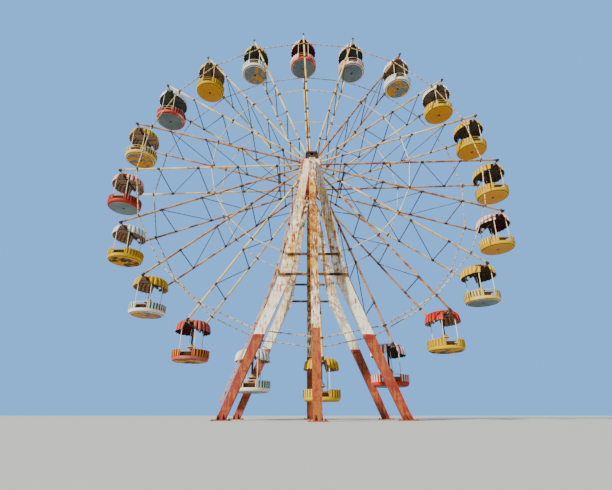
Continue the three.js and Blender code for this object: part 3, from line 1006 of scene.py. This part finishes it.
def raise_profile(profile, sides):
    radius, level = profile[0]
    deselect()
    bpy.ops.mesh.primitive_circle_add(vertices=sides, radius=radius, location=(0, 0, level))
    piece = bpy.context.object
    apply_place()
    edit_all()
    for next_radius, next_level in profile[1:]:
        bpy.ops.mesh.extrude_edges_move(TRANSFORM_OT_translate={"value": (0, 0, next_level - level)})
        grown = next_radius / radius
        bpy.ops.transform.resize(value=(grown, grown, 1), center_override=(0, 0, next_level))
        radius, level = next_radius, next_level
    return piece


dish = raise_profile([(radius, floor_level + rise) for radius, rise in dish_profile], 96)
bpy.ops.mesh.select_all(action="SELECT")
bpy.ops.mesh.fill_holes(sides=0)
face_outward()
give_coats(dish, 3)
for face in dish.data.polygons:
    reach = face.center.xy.length
    if face.center.z < underside_top:
        face.material_index = 0 if reach < underside_radius else 1
    else:
        face.material_index = 2 if reach < well_radius and face.center.z < well_top else 1
nut = bolt((0, 0, underside_top), (0, 0, -1), nut_radius, underside_top - floor_level)
washer = round_bar((0, 0, underside_top), (0, 0, washer_foot), washer_radius, 24)
tint([nut, washer], 2)
floor_master = weld([dish, nut, washer], "floor_master")


def floor_materials(coat):
    return floor_paints[coat["underside"]], paints[coat["band"]], dark_steel


hang(floor_master, "floor", floor_materials)

# Cabin wall: two ribbed steel sheets that leave an entrance between them at the front
# and at the rear. A tube caps the top and closes each end.
wall_foot = floor_level + 0.203
wall_top = floor_level + 0.545
wall_spread = math.radians(70)
wall_radius = 0.926
wall_foot_band = 0.02
wall_top_band = 0.04
wall_top_flare = 1.006
sheet = 0.010
steps_round = 216
step = math.tau / steps_round
rib_depth = 0.034
rib_pitch = 6
rib_corners = (2, 3, 4)
rib_faces = (2, 3)
rail_radius = 0.934
rail_thickness = 0.013
rail_drop = 0.004
end_tube_foot = (0.930, wall_foot - 0.008)
end_tube_top = (0.938, wall_top + 0.006)
end_tube_radius = 0.020
edge_margin = 0.001


def turn_of(point, facing):
    return math.atan2(point.y * facing, point.x * facing)


def thicken(piece, lining_offset=0):
    select_only(piece)
    thick = piece.modifiers.new("sheet", "SOLIDIFY")
    thick.thickness = sheet
    thick.offset = -1
    thick.material_offset = lining_offset
    bpy.ops.object.modifier_apply(modifier=thick.name)


def ribbed_wall(facing):
    deselect()
    bpy.ops.mesh.primitive_circle_add(vertices=steps_round, radius=wall_radius, location=(0, 0, wall_foot))
    wall = bpy.context.object
    apply_place()
    bpy.ops.object.mode_set(mode="EDIT")
    bpy.ops.mesh.select_mode(type="VERT")
    bpy.ops.mesh.select_all(action="DESELECT")
    end_edit()
    for corner in wall.data.vertices:
        corner.select = abs(turn_of(corner.co, facing)) > wall_spread + edge_margin
    bpy.ops.object.mode_set(mode="EDIT")
    bpy.ops.mesh.delete(type="VERT")
    bpy.ops.mesh.select_all(action="SELECT")
    plain_rise = wall_top - wall_foot - wall_foot_band - wall_top_band
    for rise, grown in ((wall_foot_band, 1.0), (plain_rise, 1.0), (wall_top_band, wall_top_flare)):
        bpy.ops.mesh.extrude_edges_move(TRANSFORM_OT_translate={"value": (0, 0, rise)})
        bpy.ops.transform.resize(value=(grown, grown, 1), center_override=(0, 0, 0))
    end_edit()
    for corner in wall.data.vertices:
        count = round((turn_of(corner.co, facing) + wall_spread) / step)
        if count % rib_pitch in rib_corners:
            corner.co.xy *= 1 + rib_depth / wall_radius
    # Rib crests take the crest paint; the troughs and the sides of the ribs take the darker trough paint,
    # which is partly painted shade.
    give_coats(wall, 2)
    for face in wall.data.polygons:
        count = round((turn_of(face.center, facing) + wall_spread) / step - 0.5)
        face.material_index = 1 if count % rib_pitch in rib_faces else 0
    bpy.ops.object.mode_set(mode="EDIT")
    face_outward()
    first = wall.data.polygons[0]
    if first.normal.dot(first.center) < 0:
        bpy.ops.object.mode_set(mode="EDIT")
        bpy.ops.mesh.flip_normals()
        end_edit()
    thicken(wall)
    return wall


def arc_tube(radius, level, thickness, spread, facing, sides=10):
    start = Matrix.Rotation(-spread, 4, "Z") @ Vector((radius * facing, 0, level))
    deselect()
    bpy.ops.mesh.primitive_circle_add(
        vertices=sides, radius=thickness, location=start, rotation=(math.pi / 2, 0, -spread)
    )
    tube = bpy.context.object
    apply_place()
    edit_all()
    bpy.ops.mesh.spin(steps=24, angle=2 * spread, center=(0, 0, 0), axis=(0, 0, 1))
    bpy.ops.mesh.select_all(action="SELECT")
    bpy.ops.mesh.fill_holes(sides=0)
    face_outward()
    return tube


def around(radius, angle, level):
    return Vector((radius * math.cos(angle), radius * math.sin(angle), level))


walls, trims = [], []
for facing in (-1, 1):
    walls.append(ribbed_wall(facing))
    trims.append(arc_tube(rail_radius, wall_top - rail_drop, rail_thickness, wall_spread, facing))
    for way in (-1, 1):
        angle = way * wall_spread + (math.pi if facing < 0 else 0)
        foot, top = (around(radius, angle, level) for radius, level in (end_tube_foot, end_tube_top))
        trims.append(round_bar(foot, top, end_tube_radius, 10))
tint(trims, 2)
wall_master = weld(walls + trims, "wall_master")


def wall_materials(coat):
    return paints[coat["groove_paint_and_shade"]], paints[coat["crests"]], paints[coat["band"]]


hang(wall_master, "wall", wall_materials)

# Benches, table and posts: curved plank seats on steel fronts along both walls, a
# small round table on the centre post, four thin posts, and the sleeve on the pivot.
deck = floor_level + 0.08
seat_top = floor_level + 0.43
seat_inner = 0.595
plank_count = 3
plank_pitch = 0.107
plank_width = 0.099
plank_thickness = 0.03
plank_spread = math.radians(69)
bench_front = (0.615, 0.63)
front_spread = math.radians(67)
bearer_spread = math.radians(62)
bearer_reach = (0.65, 0.90)
bearer_level = seat_top - 0.045
bearer_radius = 0.014
table_level = floor_level + 0.74
table_radius = 0.232
half_table = 0.016
table_rim = 0.012
bowl_radius = 0.15
bowl_drop = 0.07
bowl_rise = 0.13
nearly_round = math.pi * 0.9999
centre_post_radius = 0.052
pivot_sleeve_reach = 0.88
pivot_sleeve_radius = 0.066
sleeve_ring_radius = 0.075
half_sleeve_ring = 0.02
hanger_size = (1.36, 0.045, 0.022)
hanger_y = 0.30
hanger_level = 0.074
post_foot_radius = 0.893
post_foot = wall_foot + 0.03
post_top_radius = 0.835
post_top = 0.02
post_angle = math.radians(65.5)
post_radius = 0.019
post_ring_radius = 0.026
post_rings = ((0.18, 0.20), (0.93, 0.95))
roof_stretch = 1.14
post_white = old_paint("post_white", (0.80, 0.68, 0.42), (0.88, 0.82, 0.66), 0.6, 0.3, 0.4)
bench_brown = old_paint("bench_brown", (0.34, 0.20, 0.06), (0.55, 0.40, 0.20), rust=0.35, runs=0.0)


def arc_slab(inner, outer, low, high, spread, facing):
    deselect()
    centre = Vector(((inner + outer) / 2 * facing, 0, (low + high) / 2))
    bpy.ops.mesh.primitive_plane_add(size=1, location=centre, rotation=(math.pi / 2, 0, 0))
    slab = bpy.context.object
    slab.scale = (outer - inner, high - low, 1)
    apply_place()
    slab.data.transform(Matrix.Rotation(-spread, 4, "Z"))
    edit_all()
    bpy.ops.mesh.spin(steps=18, angle=2 * spread, center=(0, 0, 0), axis=(0, 0, 1))
    bpy.ops.mesh.select_all(action="SELECT")
    bpy.ops.mesh.remove_doubles(threshold=0.0005)
    face_outward()
    return slab


wooden, whites, darks = [], [], []
plank_foot = seat_top - plank_thickness
for facing in (-1, 1):
    for plank in range(plank_count):
        inner = seat_inner + plank_pitch * plank
        wooden.append(arc_slab(inner, inner + plank_width, plank_foot, seat_top, plank_spread, facing))
    wooden.append(arc_slab(*bench_front, deck - 0.005, plank_foot, front_spread, facing))
    for way in (-1, 0, 1):
        angle = way * bearer_spread + (math.pi if facing < 0 else 0)
        ends = [around(radius, angle, bearer_level) for radius in bearer_reach]
        whites.append(round_bar(*ends, bearer_radius, 8))
table_top = (0, 0, table_level + half_table)
wooden.append(round_bar((0, 0, table_level - half_table), table_top, table_radius, 40, 0.006))
bowl_ends = (0, 0, table_level - bowl_drop), (0, 0, table_level + bowl_rise)
wooden.append(round_bar(*bowl_ends, bowl_radius, 32, 0.012))
whites.append(arc_tube(table_radius + 0.002, table_level, table_rim, nearly_round, 1, 8))
darks.append(round_bar((0, 0, deck - 0.002), (0, 0, 0), centre_post_radius, 16))
for level, radius, tall in (
    (deck + 0.008, 0.12, 0.016),
    (table_level + 0.15, 0.085, 0.05),
    (-0.10, 0.07, 0.08),
):
    darks.append(round_bar((0, 0, level - tall / 2), (0, 0, level + tall / 2), radius, 24, 0.004))
sleeve_ends = (0, -pivot_sleeve_reach, 0), (0, pivot_sleeve_reach, 0)
darks.append(round_bar(*sleeve_ends, pivot_sleeve_radius, 20, 0.004))
for y in (-0.87, -0.45, 0.45, 0.87):
    ring_ends = (0, y - half_sleeve_ring, 0), (0, y + half_sleeve_ring, 0)
    darks.append(round_bar(*ring_ends, sleeve_ring_radius, 20, 0.003))
for y in (-hanger_y, hanger_y):
    darks.append(block(*hanger_size, (0, y, hanger_level), 0.003))
for facing in (0, math.pi):
    for way in (-1, 1):
        angle = facing + way * post_angle
        foot, top = around(post_foot_radius, angle, post_foot), around(post_top_radius, angle, post_top)
        top.y *= roof_stretch
        whites.append(round_bar(foot, top, post_radius, 12))
        for low_share, high_share in post_rings:
            ring_ends = foot.lerp(top, low_share), foot.lerp(top, high_share)
            whites.append(round_bar(*ring_ends, post_ring_radius, 12, 0.003))
tint(wooden, 0)
tint(whites, 1)
tint(darks, 2)
fittings_master = weld(wooden + whites + darks, "fittings_master")
hang(fittings_master, "fittings", lambda coat: (bench_brown, post_white, dark_steel))

# Cabin roof: an umbrella of pressed sheet, longer along the pivot bar than across it. Its
# ribbed skirt flares on both sides, rises in an arch over the two entrances, and ends in
# a scalloped hem.
arch_level = 0.068
arch_radius = 0.832
arch_open = math.radians(13)
arch_rise = math.radians(8)
arch_drop = 0.03
arch_flare = 0.1
hem_level = -0.352
hem_scallop = 0.02
roof_profile = [
    (0.899, hem_level), (0.897, -0.325), (0.886, -0.24), (0.870, -0.15), (0.852, -0.05),
    (0.826, 0.04), (0.790, 0.10), (0.735, 0.154), (0.660, 0.198), (0.560, 0.228),
    (0.420, 0.252), (0.250, 0.268), (0.070, 0.278),
]
fold_pitch = 9
fold_faces = (2, 3, 4, 5, 6)
fold_corners = (3, 4, 5, 6)
fold_depth = 0.034
fold_paint_top = 0.14
crown_rim = 0.03
crown_rise = 0.004
finial_foot = 0.266
finial_top = 0.283
finial_radius = 0.03
fold_top = 0.18
fold_fade = 0.12
linings = {
    lining: old_paint(f"{name}_lining", *coat)
    for lining, name, *coat in (
        ("maroon", "maroon", (0.060, 0.004, 0.004), (0.09, 0.018, 0.014), 0.4, 0.08, 0.0),
        ("green", "dark_green", (0.030, 0.065, 0.050), (0.070, 0.100, 0.080), 0.4, 0.0, 0.0, 0.001),
        ("slate", "slate_green", (0.070, 0.110, 0.105), (0.12, 0.16, 0.15), 0.4, 0.0, 0.0, 0.001),
        ("brown", "brown", (0.44, 0.30, 0.19), (0.52, 0.38, 0.26), 0.5, 0.0, 0.0, 0.001),
        ("umber", "umber", (0.22, 0.15, 0.09), (0.30, 0.22, 0.15), 0.5, 0.0, 0.0, 0.001),
        ("black", "black_brown", (0.090, 0.060, 0.040), (0.14, 0.10, 0.07), 0.5, 0.0, 0.0, 0.001),
    )
}
# The skirt linings are darker copies of the roof linings: painted shade inside the skirt.
skirt_shade_linings = {
    lining: old_paint(f"{name}_skirt_shade_lining", *coat)
    for lining, name, *coat in (
        ("maroon", "maroon", (0.045, 0.004, 0.004), (0.08, 0.015, 0.012), 0.4, 0.2, 0.0),
        ("green", "dark_green", (0.016, 0.034, 0.027), (0.04, 0.06, 0.05), 0.4, 0.15, 0.0),
        ("slate", "slate_green", (0.040, 0.065, 0.060), (0.08, 0.11, 0.10), 0.4, 0.1, 0.0),
        ("brown", "brown", (0.17, 0.080, 0.036), (0.27, 0.15, 0.08), 0.5, 0.1, 0.0, 0.001),
        ("umber", "umber", (0.085, 0.045, 0.024), (0.15, 0.09, 0.055), 0.5, 0.1, 0.0, 0.001),
        ("black", "black_brown", (0.035, 0.020, 0.013), (0.08, 0.05, 0.035), 0.5, 0.15, 0.0),
    )
}
roof = raise_profile(roof_profile, steps_round)
bpy.ops.mesh.edge_face_add()
bpy.ops.mesh.inset(thickness=crown_rim, depth=crown_rise)
face_outward()
give_coats(roof, 4)
# Below the crown the troughs between the roof's ribs take the darker trough paint, which is partly painted
# shade.
for face in roof.data.polygons:
    count = math.floor(math.atan2(face.center.y, face.center.x) / step) % fold_pitch
    face.material_index = 1 if count not in fold_faces and face.center.z < fold_paint_top else 0
for corner in roof.data.vertices:
    from_door = abs(abs(math.atan2(corner.co.y, corner.co.x)) - math.pi / 2)
    count = round(math.atan2(corner.co.y, corner.co.x) / step) % fold_pitch
    proud = count in fold_corners
    if proud:
        corner.co.xy *= 1 + fold_depth * min(1.0, max(0.0, (fold_top - corner.co.z) / fold_fade))
    if corner.co.z < arch_level:
        if not proud and corner.co.z < hem_level + 0.01:
            corner.co.z += hem_scallop
        share = min(1.0, max(0.0, (from_door - arch_open) / arch_rise))
        share = share * share * (3 - 2 * share)
        corner.co.z = arch_level + (corner.co.z - arch_level) * max(share, arch_drop)
        reach = corner.co.xy.length
        corner.co.xy *= (arch_radius + (reach - arch_radius) * max(share, arch_flare)) / reach
    corner.co.y *= roof_stretch
# Inside, the inner side of the skirt's trough faces takes the darker copy of the lining, which is painted
# shade; the rest takes the lining.
thicken(roof, 2)
finial = round_bar((0, 0, finial_foot), (0, 0, finial_top), finial_radius, 16, 0.004)
tint([finial], 0)
roof_master = weld([roof, finial], "roof_master")


def roof_materials(coat):
    lining = coat["lining"]
    return paints[coat["roof"]], paints[coat["fold_paint_and_shade"]], linings[lining], skirt_shade_linings[lining]


hang(roof_master, "roof", roof_materials)

deselect()
for coat in coats:
    bpy.data.materials.remove(coat)
